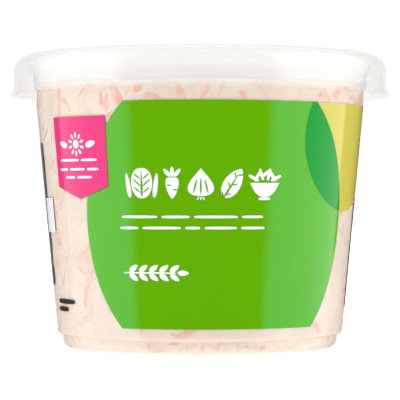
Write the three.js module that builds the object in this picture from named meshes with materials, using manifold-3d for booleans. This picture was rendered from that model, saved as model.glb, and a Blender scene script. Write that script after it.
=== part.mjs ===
// A lidded tub of coleslaw: a tapered clear tub on a stepped foot, a snap lid with a wide flared skirt,
// the printed fields of its label as thin skins on the wall, and the slaw that fills it.
// Millimetres, +Z up. The origin is the centre of the base, and the front of the label faces -Y.

import * as THREE from "three";
import { mergeVertices } from "three/addons/utils/BufferGeometryUtils.js";
import Module from "manifold-3d";

const wasm = await Module();
wasm.setup();

// ---------------------------------------------------------------- driving dimensions

const TUB = {
  baseRadius: 40.8, // flat disc that the tub stands on
  footRadius: 43.7,
  footHeight: 4.3,
  wallFootRadius: 45.4, // the wall just above the step
  wallFootZ: 4.7,
  wallTopRadius: 52.1, // the wall where the straight band starts
  wallTopZ: 77.0,
  bandTopZ: 81.6,
  neckRadius: 53.1,
  neckFootZ: 82.8,
  neckTopZ: 86.2,
  rimRadius: 55.8,
  rimFootZ: 89.6,
  topZ: 91.0,
  thickness: 0.8,
};

const LID = {
  skirtRadius: 59.1,
  lipRadius: 60.5, // the skirt's flared lower edge
  lipZ: 79.4,
  flareHeight: 3.3,
  topZ: 92.3,
  crownRound: 4.6, // outer edge of the crown
  crownInnerRound: 1.2, // inner edge of the crown
  plugRadius: 51.9, // outer face of the wall that plugs the neck
  panelZ: 87.4, // upper face of the sunken panel
  ringRadius: 46.0, // bead that centres the foot of the next tub
  ringHeight: 1.2,
  ringWidth: 1.6,
  snapRadius: 57.0, // outer face of the ring that grips the rim
  snapFootZ: 87.9,
  thickness: 0.9,
};

const LABEL = {
  topZ: 76.2,
  bottomZ: 8.15,
  gap: 0.15, // between the wall and the skins
  thickness: 0.25,
  seam: 0.3, // between two fields
};

// The fields of the print: angles are in degrees from the front, positive towards +X, and the rest is in
// millimetres on the wall.
const GREEN_DISC = { angle: 8.3, z: 41.4, halfWidth: 44.8, halfHeight: 47.6 };
const YELLOW_DISC = { angle: 64.4, z: 66.5, halfWidth: 23.4, halfHeight: 23.4 };
const FLAG = { angle: -47.0, halfAngle: 13.5, topZ: 72.0, shoulderZ: 50.85, tipZ: 47.05 };
const PANEL = { left: -199, right: -77.4, topZ: 64.6, bottomZ: 20.0 };
const TABLE = { left: 83.2, right: 152, topZ: 47.6, bottomZ: 12.9 };
const TAB = { left: -78.7, right: -68, topZ: 47.4, bottomZ: 36.6 };

const SLAW = {
  clearance: 0.35, // to the tub and the lid
  sideDepth: 1.3, // how deep the core lies behind the pieces at the wall
  topZ: 83.4, // top of the core
  highestZ: 86.1, // no piece stands higher
  topRadius: 49.5, // pieces on top stay inside this
  sidePieces: 56,
  topPieces: 30,
  seed: 7,
};

const ROUND_STEPS = 48; // facets round the tub, the lid and the label
const CORE_STEPS = 32; // facets round the slaw's core
const DISC_STEPS = 56; // points of a printed disc's outline

// ---------------------------------------------------------------- helpers

const radians = THREE.MathUtils.degToRad;

const SLOPE = (TUB.wallTopRadius - TUB.wallFootRadius) / (TUB.wallTopZ - TUB.wallFootZ);
const TAPER = Math.sin(Math.atan(SLOPE)); // the wall's radius over its distance from the cone's apex

// Outer radius of the tub's tapered wall at height z.
function wallRadius(z) {
  return Math.min(TUB.wallFootRadius + SLOPE * (z - TUB.wallFootZ), TUB.wallTopRadius);
}

// A point at an angle from the front, a radius and a height.
function around(angle, radius, z) {
  return new THREE.Vector3(radius * Math.sin(angle), -radius * Math.cos(angle), z);
}

// Profile points of an arc between two directions in degrees, both ends included.
function arc(centreRadius, centreZ, round, from, to, steps) {
  return Array.from({ length: steps + 1 }, (_, i) => {
    const angle = radians(from + ((to - from) * i) / steps);
    return [centreRadius + round * Math.cos(angle), centreZ + round * Math.sin(angle)];
  });
}

// A profile of [radius, z] pairs turned about the Z axis.
function turned(profile, steps = ROUND_STEPS) {
  const points = profile.map(([radius, z]) => new THREE.Vector2(radius, z));
  return new THREE.LatheGeometry(points, steps).rotateX(Math.PI / 2);
}

// A closed geometry as a manifold solid.
function solidOf(geometry) {
  const bare = geometry.clone();
  bare.deleteAttribute("normal");
  bare.deleteAttribute("uv");
  const merged = mergeVertices(bare, 1e-4);
  return new wasm.Manifold(
    new wasm.Mesh({
      numProp: 3,
      vertProperties: merged.attributes.position.array,
      triVerts: new Uint32Array(merged.index.array),
    }),
  );
}

// The largest body of a solid as a geometry: sealed hollows are filled and loose scraps dropped.
function geometryOf(solid) {
  const body = solid.decompose().sort((a, b) => b.volume() - a.volume())[0];
  const mesh = body.getMesh();
  const geometry = new THREE.BufferGeometry();
  geometry.setAttribute("position", new THREE.BufferAttribute(mesh.vertProperties, 3));
  geometry.setIndex(new THREE.BufferAttribute(mesh.triVerts, 1));
  geometry.computeVertexNormals();
  return geometry;
}

// Seeded random numbers from 0 to 1 (mulberry32).
function randomFrom(seed) {
  let state = seed;
  return () => {
    state = (state + 0x6d2b79f5) | 0;
    let mixed = Math.imul(state ^ (state >>> 15), 1 | state);
    mixed = (mixed + Math.imul(mixed ^ (mixed >>> 7), 61 | mixed)) ^ mixed;
    return ((mixed ^ (mixed >>> 14)) >>> 0) / 4294967296;
  };
}

function named(name, geometry, material) {
  const mesh = new THREE.Mesh(geometry, material);
  mesh.name = name;
  return mesh;
}

function plastic(colour, roughness = 0.4, opacity = 1) {
  return new THREE.MeshStandardMaterial({
    color: colour,
    roughness,
    metalness: 0,
    opacity,
    transparent: opacity < 1,
  });
}

// ---------------------------------------------------------------- tub

// Foot with a rounded corner, a step, the tapered wall, a straight band, the neck and a flared rim.
function tubGeometry() {
  const t = TUB.thickness;
  const corner = TUB.footRadius - TUB.baseRadius;
  return turned([
    [0, 0],
    ...arc(TUB.baseRadius, corner, corner, -90, 0, 3),
    [TUB.footRadius, TUB.footHeight],
    [TUB.wallFootRadius, TUB.wallFootZ],
    [TUB.wallTopRadius, TUB.wallTopZ],
    [TUB.wallTopRadius, TUB.bandTopZ],
    [TUB.neckRadius, TUB.neckFootZ],
    [TUB.neckRadius, TUB.neckTopZ],
    [TUB.rimRadius, TUB.rimFootZ],
    [TUB.rimRadius, TUB.topZ],
    // the inner face, from the rim down to the base
    [TUB.rimRadius - t, TUB.topZ],
    [TUB.rimRadius - t, TUB.rimFootZ + t / 2],
    [TUB.neckRadius - t, TUB.neckTopZ + t / 2],
    [TUB.neckRadius - t, TUB.neckFootZ],
    [TUB.wallTopRadius - t, TUB.bandTopZ],
    [TUB.wallTopRadius - t, TUB.wallTopZ],
    [TUB.wallFootRadius - t, TUB.wallFootZ],
    [TUB.footRadius - t, TUB.footHeight],
    ...arc(TUB.baseRadius, corner, corner - t, 0, -90, 3),
    [0, t],
  ]);
}

// ---------------------------------------------------------------- lid

// A sunken panel with a bead, a plug wall up to the crown, a ring that grips the rim, and the flared skirt.
function lidGeometry() {
  const t = LID.thickness;
  const crownZ = LID.topZ - LID.crownRound;
  const flareZ = LID.lipZ + LID.flareHeight;
  const bead = LID.ringWidth / 2;
  return turned([
    // the underside, from the panel out to the lip
    [0, LID.panelZ - t],
    [LID.plugRadius - t, LID.panelZ - t],
    [LID.plugRadius, LID.panelZ],
    [LID.plugRadius, LID.topZ - 1.6 * t],
    [LID.plugRadius + 0.6 * t, LID.topZ - t],
    [LID.snapRadius - t, LID.topZ - t],
    [LID.snapRadius - t, LID.snapFootZ],
    [LID.snapRadius, LID.snapFootZ],
    [LID.snapRadius, LID.topZ - 1.6 * t],
    [LID.skirtRadius - t, crownZ],
    [LID.skirtRadius - t, flareZ],
    [LID.lipRadius - 1.3 * t, LID.lipZ + 0.4 * t],
    [LID.lipRadius - 0.7 * t, LID.lipZ],
    // the outer face, from the lip up and in to the panel
    [LID.lipRadius, LID.lipZ + 0.7 * t],
    [LID.skirtRadius + 0.7 * t, LID.lipZ + 1.7 * t],
    [LID.skirtRadius + 0.25 * t, LID.lipZ + 2.5 * t],
    [LID.skirtRadius, flareZ],
    ...arc(LID.skirtRadius - LID.crownRound, crownZ, LID.crownRound, 0, 90, 5),
    ...arc(LID.plugRadius - t + LID.crownInnerRound, LID.topZ - LID.crownInnerRound, LID.crownInnerRound, 90, 180, 3),
    [LID.plugRadius - t, LID.panelZ + t],
    [LID.plugRadius - 2 * t, LID.panelZ],
    [LID.ringRadius + bead, LID.panelZ],
    [LID.ringRadius + bead / 2, LID.panelZ + LID.ringHeight],
    [LID.ringRadius - bead / 2, LID.panelZ + LID.ringHeight],
    [LID.ringRadius - bead, LID.panelZ],
    [0, LID.panelZ],
  ]);
}

// ---------------------------------------------------------------- label

// The whole sleeve that the fields are cut from.
function sleeve() {
  const near = (z) => [wallRadius(z) + LABEL.gap, z];
  const far = (z) => [wallRadius(z) + LABEL.gap + LABEL.thickness, z];
  const { bottomZ, topZ } = LABEL;
  return solidOf(turned([near(bottomZ), far(bottomZ), far(topZ), near(topZ), near(bottomZ)]));
}

// The outline of a disc drawn on the flat sheet that the wall unrolls to, as [angle, z] on the wall, with the
// angle in degrees from the front.
function discOutline(disc, margin = 0) {
  return Array.from({ length: DISC_STEPS }, (_, i) => {
    const turn = (2 * Math.PI * i) / DISC_STEPS;
    const across = (disc.halfWidth + margin) * Math.cos(turn);
    const up = wallRadius(disc.z) / TAPER + (disc.halfHeight + margin) * Math.sin(turn);
    const radius = Math.hypot(across, up) * TAPER;
    const angle = disc.angle + THREE.MathUtils.radToDeg(Math.atan2(across, up) / TAPER);
    return [angle, TUB.wallFootZ + (radius - TUB.wallFootRadius) / SLOPE];
  });
}

// The outline of the flag: a square whose lower edge runs down to a point in the middle.
function flagOutline(margin = 0) {
  const corner = (side, z) => {
    return [FLAG.angle + side * (FLAG.halfAngle + THREE.MathUtils.radToDeg(margin / wallRadius(z))), z];
  };
  return [
    corner(0, FLAG.tipZ - margin),
    corner(1, FLAG.shoulderZ - margin),
    corner(1, FLAG.topZ + margin),
    corner(-1, FLAG.topZ + margin),
    corner(-1, FLAG.shoulderZ - margin),
  ];
}

// The outline of a box between two angles and two heights.
function boxOutline({ left, right, topZ, bottomZ }, margin = 0) {
  const turn = THREE.MathUtils.radToDeg(margin / wallRadius(topZ));
  return [
    [left - turn, bottomZ - margin],
    [right + turn, bottomZ - margin],
    [right + turn, topZ + margin],
    [left - turn, topZ + margin],
  ];
}

// A prism that stands through the wall on an outline and faces one way.
function prism(outline, facing) {
  const flat = outline.map(([angle, z]) => {
    return new THREE.Vector2(wallRadius(z) * Math.sin(radians(angle - facing)), z);
  });
  const depth = LID.skirtRadius;
  const geometry = new THREE.ExtrudeGeometry(new THREE.Shape(flat), { depth, bevelEnabled: false });
  return solidOf(geometry.rotateX(Math.PI / 2).rotateZ(radians(facing)));
}

// The printed fields, each cut from the sleeve and clear of its neighbours by the seam.
function labelFields() {
  const whole = sleeve();
  const { seam } = LABEL;
  const green = prism(discOutline(GREEN_DISC), GREEN_DISC.angle);
  const yellow = prism(discOutline(YELLOW_DISC), YELLOW_DISC.angle);
  const flag = prism(flagOutline(), FLAG.angle);
  const panel = prism(boxOutline(PANEL), (PANEL.left + PANEL.right) / 2);
  const table = prism(boxOutline(TABLE), (TABLE.left + TABLE.right) / 2);
  const tab = prism(boxOutline(TAB), (TAB.left + TAB.right) / 2);
  const yellowAndSeam = prism(discOutline(YELLOW_DISC, seam), YELLOW_DISC.angle);
  const greenAndSeam = prism(discOutline(GREEN_DISC, seam), GREEN_DISC.angle);
  const flagAndSeam = prism(flagOutline(seam), FLAG.angle);
  const tabAndSeam = prism(boxOutline(TAB, seam), (TAB.left + TAB.right) / 2);
  return {
    green: geometryOf(whole.intersect(green).subtract(yellowAndSeam).subtract(flagAndSeam)),
    lens: geometryOf(whole.intersect(green).intersect(yellow)),
    yellow: geometryOf(whole.intersect(yellow).subtract(greenAndSeam)),
    flag: geometryOf(whole.intersect(flag)),
    panel: geometryOf(whole.intersect(panel).subtract(tabAndSeam)),
    table: geometryOf(whole.intersect(table)),
    tab: geometryOf(whole.intersect(tab)),
  };
}

// ---------------------------------------------------------------- slaw

// Outer radius that the slaw may reach at height z: the inner face of the wall, less the clearance.
const slawRadius = (z) => wallRadius(z) - TUB.thickness - SLAW.clearance;

// The dressing that holds the pieces together.
function slawCore() {
  const low = TUB.thickness + SLAW.clearance;
  const footRadius = TUB.footRadius - TUB.thickness - SLAW.clearance - SLAW.sideDepth;
  const side = (z) => [slawRadius(z) - SLAW.sideDepth, z];
  const profile = [
    [0, low],
    [footRadius - 2.5, low],
    [footRadius, low + 2.2],
    side(TUB.wallFootZ + 1),
    side(TUB.wallTopZ),
    side(SLAW.topZ - 1),
    [slawRadius(SLAW.topZ) - SLAW.sideDepth - 2, SLAW.topZ],
    [SLAW.topRadius / 2, SLAW.topZ + 0.7],
    [0, SLAW.topZ + 0.3],
  ];
  return solidOf(turned(profile, CORE_STEPS));
}

// A strip along a path, under it as seen from outside the slaw, with ends narrower than its middle.
function strip(path, outward, width, thickness) {
  const steps = path.length - 1;
  const box = new THREE.BoxGeometry(1, 1, 1, steps, 1, 1);
  const place = box.attributes.position;
  for (let i = 0; i < place.count; i++) {
    const at = Math.round((place.getX(i) + 0.5) * steps);
    const along = path[Math.min(at + 1, steps)].clone().sub(path[Math.max(at - 1, 0)]);
    const across = outward[at].clone().cross(along).normalize();
    const narrowed = width * (0.45 + 0.55 * Math.sin((Math.PI * (at + 0.35)) / (steps + 0.7)));
    const point = path[at]
      .clone()
      .addScaledVector(across, narrowed * place.getY(i))
      .addScaledVector(outward[at], thickness * (place.getZ(i) - 0.5));
    place.setXYZ(i, ...point);
  }
  return solidOf(box);
}

// A piece pressed against the wall: it bends within the wall's surface and its ends sink into the dressing.
function sidePiece(random, angle, middleZ) {
  const length = 9 + 17 * random() ** 1.5;
  const width = 1.7 + 1.8 * random();
  const bend = (random() - 0.5) * 0.09;
  let heading = (random() - 0.5) * Math.PI;
  const steps = 4;
  const path = [];
  const outward = [];
  let along = (-length / 2) * Math.cos(heading);
  let rise = (-length / 2) * Math.sin(heading);
  for (let i = 0; i <= steps; i++) {
    const z = THREE.MathUtils.clamp(middleZ + rise, TUB.wallFootZ + 2.5, SLAW.topZ - 1.5);
    const sunk = 0.7 * Math.abs((2 * i) / steps - 1) ** 4;
    const turn = angle + along / slawRadius(z);
    path.push(around(turn, slawRadius(z) - 0.1 - sunk, z));
    outward.push(around(turn, 1, 0));
    heading += (bend * length) / steps;
    along += (length / steps) * Math.cos(heading);
    rise += (length / steps) * Math.sin(heading);
  }
  return strip(path, outward, width, 2 * SLAW.sideDepth);
}

// A piece on top: it lies in a curve on the dressing, and its middle lifts off.
function topPiece(random, angle, radius) {
  const length = 12 + 22 * random();
  const width = 1.8 + 1.8 * random();
  const bend = (random() - 0.5) * 0.12;
  const lift = 0.5 + 1.4 * random();
  let heading = random() * Math.PI * 2;
  const steps = 5;
  const path = [];
  const outward = [];
  const at = around(angle, radius, 0);
  at.x -= (length / 2) * Math.cos(heading);
  at.y -= (length / 2) * Math.sin(heading);
  for (let i = 0; i <= steps; i++) {
    const pull = Math.min(1, (SLAW.topRadius - width) / Math.hypot(at.x, at.y));
    const z = SLAW.topZ + 0.9 + lift * Math.sin((Math.PI * i) / steps);
    path.push(new THREE.Vector3(at.x * pull, at.y * pull, Math.min(z, SLAW.highestZ)));
    outward.push(new THREE.Vector3(0, 0, 1));
    heading += (bend * length) / steps;
    at.x += (length / steps) * Math.cos(heading);
    at.y += (length / steps) * Math.sin(heading);
  }
  return strip(path, outward, width, lift + 1.6);
}

// Whether the green field hides a place on the wall, given in degrees and millimetres.
function isHidden(angle, z) {
  const margin = 5;
  const turn = radians(angle - GREEN_DISC.angle) * TAPER;
  const across = (wallRadius(z) / TAPER) * Math.sin(turn);
  const rise = (wallRadius(z) * Math.cos(turn) - wallRadius(GREEN_DISC.z)) / TAPER;
  const reach = Math.hypot(across / (GREEN_DISC.halfWidth - margin), rise / (GREEN_DISC.halfHeight - margin));
  return reach < 1 && z > LABEL.bottomZ + margin && z < LABEL.topZ - margin;
}

// The core with its pieces. The places at the wall and on top follow spirals that turn by the golden angle.
function slawGeometry() {
  const random = randomFrom(SLAW.seed);
  const goldenAngle = 180 * (3 - Math.sqrt(5));
  const lowest = TUB.wallFootZ + 4;
  const heights = SLAW.topZ - 4 - lowest;
  const pieces = [slawCore()];
  for (let i = 0; pieces.length <= SLAW.sidePieces; i++) {
    const angle = ((i * goldenAngle) % 360) - 180;
    const z = lowest + ((i * 0.4142 * heights) % heights);
    const piece = sidePiece(random, radians(angle), z);
    if (!isHidden(angle, z)) pieces.push(piece);
  }
  for (let i = 0; i < SLAW.topPieces; i++) {
    const radius = (SLAW.topRadius - 4) * Math.sqrt((i + 0.5) / SLAW.topPieces);
    pieces.push(topPiece(random, radians(i * goldenAngle), radius));
  }
  return geometryOf(wasm.Manifold.union(pieces));
}

// ---------------------------------------------------------------- assembly

const label = labelFields();
const coleslawTub = new THREE.Group();
coleslawTub.add(
  named("tub", tubGeometry(), plastic(0xf3f1ee, 0.3, 0.35)),
  named("lid", lidGeometry(), plastic(0xf7f6f4, 0.35, 0.6)),
  named("coleslaw", slawGeometry(), plastic(0xf5e3d2, 0.5)),
  named("label_green", label.green, plastic(0x64af00)),
  named("label_lens", label.lens, plastic(0x2fa848)),
  named("label_yellow", label.yellow, plastic(0xd9cb5f)),
  named("label_flag", label.flag, plastic(0xf84183)),
  named("label_panel", label.panel, plastic(0x3a3c3e)),
  named("label_table", label.table, plastic(0x3a3c3e)),
  named("label_tab", label.tab, plastic(0xf2f3f5)),
);

export default coleslawTub;
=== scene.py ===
"""A lidded tub of coleslaw with its printed label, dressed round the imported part.

Metres, +Z up. The origin is the centre of the base, the front of the label faces -Y, and angles are in
degrees from the front, positive towards +X.
"""

import math

import bpy
import numpy as np
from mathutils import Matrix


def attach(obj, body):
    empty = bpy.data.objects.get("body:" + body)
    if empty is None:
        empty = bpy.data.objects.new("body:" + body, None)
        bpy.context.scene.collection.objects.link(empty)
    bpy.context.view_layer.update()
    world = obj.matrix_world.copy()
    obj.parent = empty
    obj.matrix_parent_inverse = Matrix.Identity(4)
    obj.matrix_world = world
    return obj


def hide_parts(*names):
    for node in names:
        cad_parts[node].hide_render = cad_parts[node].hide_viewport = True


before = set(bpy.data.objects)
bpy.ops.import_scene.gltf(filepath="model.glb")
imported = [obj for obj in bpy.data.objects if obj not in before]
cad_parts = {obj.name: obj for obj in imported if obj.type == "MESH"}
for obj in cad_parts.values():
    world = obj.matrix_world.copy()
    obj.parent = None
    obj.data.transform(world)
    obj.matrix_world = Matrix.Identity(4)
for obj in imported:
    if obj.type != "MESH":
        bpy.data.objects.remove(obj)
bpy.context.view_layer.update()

# -------- driving dimensions

MM = 0.001

BASE_RADIUS = 40.8 * MM
FOOT_RADIUS = 43.7 * MM
FOOT_HEIGHT = 4.3 * MM
FOOT_CORNER = FOOT_RADIUS - BASE_RADIUS  # radius of the foot's rounding
WALL_FOOT_RADIUS = 45.4 * MM
WALL_FOOT_Z = 4.7 * MM
WALL_TOP_RADIUS = 52.1 * MM
WALL_TOP_Z = 77.0 * MM
BAND_TOP_Z = 81.6 * MM
NECK_RADIUS = 53.1 * MM
NECK_FOOT_Z = 82.8 * MM
NECK_TOP_Z = 86.2 * MM
RIM_RADIUS = 55.8 * MM
RIM_FOOT_Z = 89.6 * MM
RIM_TOP_Z = 91.0 * MM
WALL = 0.8 * MM  # thickness of the tub
FOOT_WALL = 1.0 * MM  # thickness of its foot
SLOPE = (WALL_TOP_RADIUS - WALL_FOOT_RADIUS) / (WALL_TOP_Z - WALL_FOOT_Z)
TAPER = math.sin(math.atan(SLOPE))  # the wall's radius over its distance from the cone's apex

SKIRT_RADIUS = 59.1 * MM
LIP_RADIUS = 60.5 * MM
LIP_Z = 79.4 * MM
FLARE_HEIGHT = 3.3 * MM
LID_TOP_Z = 92.3 * MM
CROWN_ROUND = 4.6 * MM
CROWN_INNER_ROUND = 1.2 * MM
PLUG_RADIUS = 51.9 * MM
PANEL_Z = 87.4 * MM
BEAD_RADIUS = 46.0 * MM
BEAD_HEIGHT = 1.2 * MM
BEAD_WIDTH = 1.6 * MM
SNAP_RADIUS = 57.0 * MM
SNAP_FOOT_Z = 87.9 * MM
SHEET = 0.9 * MM  # thickness of the lid

LABEL_TOP_Z = 76.2 * MM
LABEL_BOTTOM_Z = 8.15 * MM
GREEN_DISC = {"angle": 8.3, "z": 41.4 * MM, "half_width": 44.8 * MM, "half_height": 47.6 * MM}
YELLOW_DISC = {"angle": 64.4, "z": 66.5 * MM, "half_width": 23.4 * MM, "half_height": 23.4 * MM}
FLAG = {"angle": -47.0, "half_angle": 13.5, "top_z": 72.0 * MM, "shoulder_z": 50.85 * MM, "tip_z": 47.05 * MM}
FLAG_SHADOW = {"aside": 0.35, "down": 0.25 * MM}
PANEL = {"left": -199.0, "right": -77.4, "top_z": 64.6 * MM, "bottom_z": 20.0 * MM}
TABLE = {"left": 83.2, "right": 152.0, "top_z": 47.6 * MM, "bottom_z": 12.9 * MM}
TAB = {"left": -78.7, "right": -68.0, "top_z": 47.4 * MM, "bottom_z": 36.6 * MM}

# A place is an angle, a height and a size. Rows of bars are {height: lengths of the bars}, both in mm.
TITLE = (1.2, 51.7 * MM, 1.05)
SUBTITLE_ANGLE = -3.0
SUBTITLE = {41.7: (11.5, 8.4, 13.0, 6.6), 38.4: (6.0, 11.8, 4.4, 9.6, 7.4)}
SPRIG = (-16.3, 25.0 * MM, 1.0)
SPRIG_LENGTH = 20.5 * MM
FLAG_MARK_ANGLE = FLAG["angle"] - 0.5
BURST = (FLAG_MARK_ANGLE, 63.6 * MM, 1.0)
FLAG_NOTE = {58.8: (9.4, 6.6), 56.0: (4.2, 7.0, 4.6), 53.6: (4.6, 6.4)}
WEIGHT_ANGLE = -63.6
WEIGHT_START = -6.2 * MM
WEIGHT = {15.3: (12.4,), 12.9: (7.8,)}

INK = 0.02 * MM  # thickness of a printed layer, and of the gap under it
YELLOW_LAYER, GREEN_LAYER, SHADOW_LAYER, FLAG_LAYER, MARK_LAYER, VEIN_LAYER = range(6)
LENS_LAYER = SHADOW_LAYER
PANEL_LAYER = YELLOW_LAYER
PANEL_MARK_LAYER = GREEN_LAYER

SLAW_INSET = 0.35 * MM  # the slaw lies this far inside the wall's outer face, so it reaches into the wall
FOOT_INSET = 0.6 * MM  # the same in the foot
SLAW_SHOULDER_Z = 82.6 * MM
SLAW_TOP_Z = 83.8 * MM
SLAW_TOP_RADIUS = 49.0 * MM
HEAP_DIP = 0.9 * MM  # how much lower the heap is at the wall
HEAP_DIP_WIDTH = 6 * MM
HEAP_SWELL = 0.55 * MM  # about how far its waves rise

CAMERA_DISTANCE = 638 * MM
CAMERA_HEIGHT = 46.7 * MM
CAMERA_LENS = 179.4
FLOOR_REACH = 3.0  # from the axis to the floor's edges

TURNS = 256  # points round a turned piece
SHARP_ANGLE = 40  # edges that bend further stay sharp
SHRED_STEPS = 14  # points along a shred
SHRED_SIDES = 8  # points round it
SHRED_SINK = 0.5 * MM  # how far it reaches inward from its path

chance = np.random.default_rng(11)
WAVES = 18
WAVE_HEADINGS = chance.uniform(0, 2 * math.pi, WAVES)
WAVE_LENGTHS = chance.uniform(7 * MM, 30 * MM, WAVES)
WAVE_PHASES = chance.uniform(0, 2 * math.pi, WAVES)

# -------- surfaces


def spread(low, high, count):
    """Random numbers evenly spread from low to high, as a column."""
    return chance.uniform(low, high, (count, 1))


def wall(z):
    """Outer radius of the wall at height z: a straight taper up to the band, and even above it."""
    return np.minimum(WALL_FOOT_RADIUS + SLOPE * (z - WALL_FOOT_Z), WALL_TOP_RADIUS)


def around(angle, radius, z):
    """Points at an angle in degrees from the front, a distance from the axis and a height: the sine of the
    angle times the radius gives x, minus the cosine gives y."""
    turn = np.radians(angle)
    return np.stack(np.broadcast_arrays(radius * np.sin(turn), -radius * np.cos(turn), z), axis=-1)


def woven(points, numbers):
    """A grid of points as vertices, and four-sided faces between each row and the next and between the last
    column and the first. numbers holds each point's vertex, so points that share one are welded."""
    numbers = np.concatenate([numbers, numbers[..., :1]], axis=-1)
    near, far = numbers[..., :-1, :], numbers[..., 1:, :]
    corners = (near[..., :-1], near[..., 1:], far[..., 1:], far[..., :-1])
    return points.reshape(-1, 3), np.stack(corners, axis=-1).reshape(-1, 4)


def numbered(*shape):
    """A vertex number for each point of a grid."""
    return np.arange(math.prod(shape)).reshape(shape)


def joined(shapes):
    """Several shapes as one: the vertices one after another, the faces' numbers moved on by those before."""
    starts = np.cumsum([0] + [len(points) for points, _ in shapes[:-1]])
    faces = [quads + start for (_, quads), start in zip(shapes, starts)]
    return np.concatenate([points for points, _ in shapes]), np.concatenate(faces)


def placed(name, data):
    """A new object in the scene."""
    made = bpy.data.objects.new(name, data)
    bpy.context.scene.collection.objects.link(made)
    return made


def piece(name, shape, material, replaced=(), layers=None):
    """Makes a shape a smooth mesh object that rides on the part, and gives the object back. A face with two
    like corners becomes a triangle, vertices that no face uses are left out, and if the volume comes out
    negative all the faces are turned. layers are numbers for each vertex that the material reads by name."""
    points, quads = shape
    used, quads = np.unique(quads, return_inverse=True)
    quads = quads.reshape(-1, 4)
    points = points[used]
    a, b, c, d = (points[quads[:, k]] for k in range(4))
    if np.einsum("ij,ij", np.cross(a, b), c) + np.einsum("ij,ij", np.cross(a, c), d) < 0:
        quads = quads[:, ::-1]
    like_start = (quads[:, 0] == quads[:, 1]) | (quads[:, 3] == quads[:, 0])
    like_end = (quads[:, 2] == quads[:, 3]) | (quads[:, 1] == quads[:, 2])
    faces = quads[~like_start & ~like_end].tolist()
    faces += quads[like_start & ~like_end][:, 1:].tolist()
    faces += quads[like_end & ~like_start][:, [0, 1, 3]].tolist()
    mesh = bpy.data.meshes.new(name)
    mesh.from_pydata(points.tolist(), [], faces)
    for layer, values in (layers or {}).items():
        attribute = mesh.attributes.new(layer, "FLOAT", "POINT")
        attribute.data.foreach_set("value", np.ravel(values)[used].astype(np.float32))
    mesh.shade_smooth()
    mesh.set_sharp_from_angle(angle=math.radians(SHARP_ANGLE))
    mesh.materials.append(material)
    made = placed(name, mesh)
    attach(made, "root")
    if replaced:
        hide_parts(*replaced)
    return made


# -------- turned pieces


def arc(radius, z, size, start, end, steps=8):
    """Points of a circle's arc about (radius, z), from one direction in degrees to another."""
    turn = np.radians(np.linspace(start, end, steps + 1))
    return np.column_stack([radius + size * np.cos(turn), z + size * np.sin(turn)])


def softened(corners, reach, steps=4):
    """An outline with its corners rounded: each gives way to a quadratic curve that leaves the side before
    it and meets the side after it reach away, or at 45 percent of a shorter side."""
    corners = np.asarray(corners, float)
    back, ahead = corners[:-2] - corners[1:-1], corners[2:] - corners[1:-1]
    back *= np.minimum(reach / np.linalg.norm(back, axis=1), 0.45)[:, None]
    ahead *= np.minimum(reach / np.linalg.norm(ahead, axis=1), 0.45)[:, None]
    t = np.linspace(0, 1, steps + 1)[None, :, None]
    curves = corners[1:-1, None] + back[:, None] * (1 - t) ** 2 + ahead[:, None] * t**2
    return np.concatenate([corners[:1], curves.reshape(-1, 2), corners[-1:]])


def fine(outline, step=1.5 * MM):
    """The same outline, read at even steps along it as well as at its own points."""
    shortest = 0.02 * MM
    lengths = np.linalg.norm(np.diff(outline, axis=0), axis=1)
    along = np.concatenate([[0], np.cumsum(lengths)])
    reads = np.union1d(along, np.arange(0, along[-1], step))
    reads = reads[np.concatenate([[True], np.diff(reads) > shortest])]
    reads[-1] = along[-1]
    return np.column_stack([np.interp(reads, along, outline[:, k]) for k in (0, 1)])


def turned(outline):
    """An outline of (radius, z) turned about the axis. It starts and ends on the axis, where the ring of
    points is one vertex."""
    angle = np.linspace(-180, 180, TURNS, endpoint=False)
    points = around(angle[None, :], outline[:, :1], outline[:, 1:])
    numbers = numbered(len(outline), TURNS)
    numbers[0], numbers[-1] = numbers[0, 0], numbers[-1, 0]
    return woven(points, numbers)


def tub_outline():
    """The outer face from the base up to the rim, then the inner face back down."""
    outer = [
        (FOOT_RADIUS, FOOT_HEIGHT),
        (WALL_FOOT_RADIUS, WALL_FOOT_Z),
        (WALL_TOP_RADIUS, WALL_TOP_Z),
        (WALL_TOP_RADIUS, BAND_TOP_Z),
        (NECK_RADIUS, NECK_FOOT_Z),
        (NECK_RADIUS, NECK_TOP_Z),
        (RIM_RADIUS, RIM_FOOT_Z),
        (RIM_RADIUS, RIM_TOP_Z),
        (RIM_RADIUS - WALL, RIM_TOP_Z),
        (RIM_RADIUS - WALL, RIM_FOOT_Z + WALL / 2),
        (NECK_RADIUS - WALL, NECK_TOP_Z + WALL / 2),
        (NECK_RADIUS - WALL, NECK_FOOT_Z),
        (WALL_TOP_RADIUS - WALL, BAND_TOP_Z),
        (WALL_TOP_RADIUS - WALL, WALL_TOP_Z),
        (WALL_FOOT_RADIUS - WALL, WALL_FOOT_Z + WALL),
        (FOOT_RADIUS - FOOT_WALL, FOOT_HEIGHT),
    ]
    foot = arc(BASE_RADIUS, FOOT_CORNER, FOOT_CORNER, -90, 0)
    inner_foot = arc(BASE_RADIUS, FOOT_CORNER, FOOT_CORNER - FOOT_WALL, 0, -90)
    sides = softened(np.concatenate([foot[-1:], outer, inner_foot[:1]]), 0.5 * MM)
    return fine(np.concatenate([[(0, 0)], foot, sides[1:-1], inner_foot, [(0, FOOT_WALL)]]))


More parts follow.
